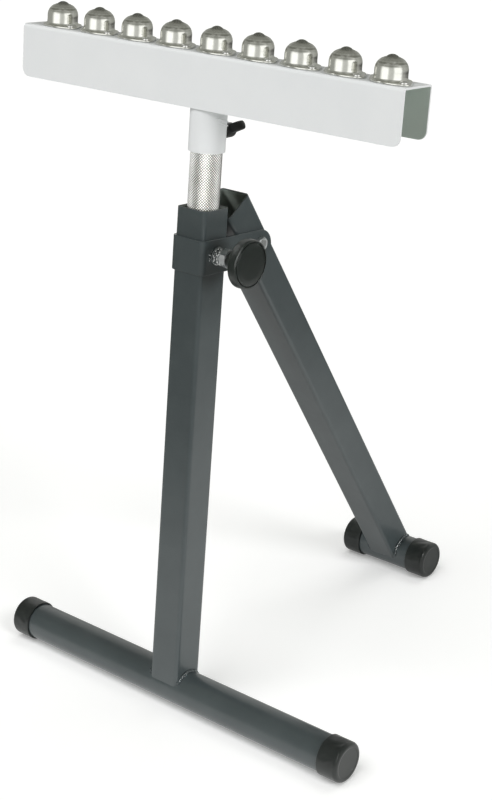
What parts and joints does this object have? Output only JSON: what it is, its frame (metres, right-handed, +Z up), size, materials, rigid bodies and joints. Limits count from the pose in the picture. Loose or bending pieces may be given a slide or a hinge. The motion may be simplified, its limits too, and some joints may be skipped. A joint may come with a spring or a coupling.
{
  "type": "roller stand",
  "caption": "Folding work-support stand: dark square post on a round base tube, hinged rear leg, knurled sliding mast and a light grey swivelling channel head with a row of ball transfers.",
  "frame": {"origin": "on the floor under the middle of the stand's footprint: centred across the base tube, half way between the front of the base caps and the back of the rear caps", "axes": "+Z up from the floor; +X along the base tube, towards the lock knob's side; +Y from the base tube and post towards the rear foot"},
  "size_m": [0.463, 0.4516, 0.7219],
  "materials": {
    "dark_paint": "satin dark slate-grey paint",
    "light_paint": "satin light grey paint",
    "black_plastic": "black moulded plastic, fine grain",
    "plated_steel": "bright plated pressed steel",
    "knurled_steel": "fine diamond knurl, plated",
    "zinc_steel": "zinc plated",
    "steel_ball": "polished bearing steel",
    "race_steel": "hardened steel, bare"
  },
  "bodies": {
    "stand_frame": {"base_tube": "dark_paint", "base_cap_left": "black_plastic", "base_cap_right": "black_plastic", "post_tube": "dark_paint", "leg_bracket": "dark_paint", "lock_weld_nut": "zinc_steel", "leg_pivot_bolt": "zinc_steel", "leg_pivot_nut": "zinc_steel"},
    "lock_handle": {"lock_screw": "zinc_steel", "lock_knob": "black_plastic"},
    "rear_leg": {"rear_leg_tube": "dark_paint", "rear_foot_tube": "dark_paint", "rear_cap_left": "black_plastic", "rear_cap_right": "black_plastic"},
    "mast": {"mast_tube": "knurled_steel"},
    "head": {"head_channel": "light_paint", "socket_tube": "light_paint", "socket_weld_nut": "light_paint", "flange_screw_1": "zinc_steel", "flange_screw_2": "zinc_steel", "flange_screw_3": "zinc_steel", "flange_screw_4": "zinc_steel", "flange_screw_5": "zinc_steel", "flange_screw_6": "zinc_steel", "flange_screw_7": "zinc_steel", "flange_screw_8": "zinc_steel", "flange_screw_9": "zinc_steel", "ball_housing_1": "plated_steel", "ball_housing_2": "plated_steel", "ball_housing_3": "plated_steel", "ball_housing_4": "plated_steel", "ball_housing_5": "plated_steel", "ball_housing_6": "plated_steel", "ball_housing_7": "plated_steel", "ball_housing_8": "plated_steel", "ball_housing_9": "plated_steel", "ball_race_1": "race_steel", "ball_race_2": "race_steel", "ball_race_3": "race_steel", "ball_race_4": "race_steel", "ball_race_5": "race_steel", "ball_race_6": "race_steel", "ball_race_7": "race_steel", "ball_race_8": "race_steel", "ball_race_9": "race_steel"},
    "wing_handle": {"wing_screw": "zinc_steel", "wing_knob": "black_plastic"},
    "ball_1": {"load_ball_1": "steel_ball"},
    "ball_2": {"load_ball_2": "steel_ball"},
    "ball_3": {"load_ball_3": "steel_ball"},
    "ball_4": {"load_ball_4": "steel_ball"},
    "ball_5": {"load_ball_5": "steel_ball"},
    "ball_6": {"load_ball_6": "steel_ball"},
    "ball_7": {"load_ball_7": "steel_ball"},
    "ball_8": {"load_ball_8": "steel_ball"},
    "ball_9": {"load_ball_9": "steel_ball"}
  },
  "joints": [
    {"name": "leg_fold", "type": "hinge", "parent": "stand_frame", "child": "rear_leg", "pos_m": [-0.00235, -0.08828, 0.49616], "axis": [-1, 0, 0], "range_deg": [0, 38]},
    {"name": "mast_slide", "type": "slide", "parent": "stand_frame", "child": "mast", "axis": [0, 0.1011, 0.9949], "range_m": [-0.043, 0.36]},
    {"name": "head_swivel", "type": "hinge", "parent": "mast", "child": "head", "pos_m": [-0.00235, -0.14315, 0.61893], "axis": [0, 0.1011, 0.9949], "continuous": true},
    {"name": "lock_knob_turn", "type": "hinge", "parent": "stand_frame", "child": "lock_handle", "pos_m": [0.02765, -0.15525, 0.49984], "axis": [1, 0, 0], "range_deg": [0, 360]},
    {"name": "wing_screw_turn", "type": "hinge", "parent": "head", "child": "wing_handle", "pos_m": [-0.00366, -0.11346, 0.61471], "axis": [-0.0436, 0.9939, -0.101], "range_deg": [0, 360]},
    {"name": "ball_1_roll", "type": "hinge", "parent": "head", "child": "ball_1", "pos_m": [-0.19854, -0.1403, 0.71399], "axis": [0.999, 0.0434, -0.0044], "continuous": true},
    {"name": "ball_2_roll", "type": "hinge", "parent": "head", "child": "ball_2", "pos_m": [-0.14889, -0.13814, 0.71377], "axis": [0.999, 0.0434, -0.0044], "continuous": true},
    {"name": "ball_3_roll", "type": "hinge", "parent": "head", "child": "ball_3", "pos_m": [-0.09924, -0.13598, 0.71355], "axis": [0.999, 0.0434, -0.0044], "continuous": true},
    {"name": "ball_4_roll", "type": "hinge", "parent": "head", "child": "ball_4", "pos_m": [-0.04958, -0.13383, 0.71333], "axis": [0.999, 0.0434, -0.0044], "continuous": true},
    {"name": "ball_5_roll", "type": "hinge", "parent": "head", "child": "ball_5", "pos_m": [0.00007, -0.13167, 0.71311], "axis": [0.999, 0.0434, -0.0044], "continuous": true},
    {"name": "ball_6_roll", "type": "hinge", "parent": "head", "child": "ball_6", "pos_m": [0.04972, -0.12951, 0.71289], "axis": [0.999, 0.0434, -0.0044], "continuous": true},
    {"name": "ball_7_roll", "type": "hinge", "parent": "head", "child": "ball_7", "pos_m": [0.09937, -0.12736, 0.71267], "axis": [0.999, 0.0434, -0.0044], "continuous": true},
    {"name": "ball_8_roll", "type": "hinge", "parent": "head", "child": "ball_8", "pos_m": [0.14903, -0.1252, 0.71245], "axis": [0.999, 0.0434, -0.0044], "continuous": true},
    {"name": "ball_9_roll", "type": "hinge", "parent": "head", "child": "ball_9", "pos_m": [0.19868, -0.12304, 0.71223], "axis": [0.999, 0.0434, -0.0044], "continuous": true}
  ]
}
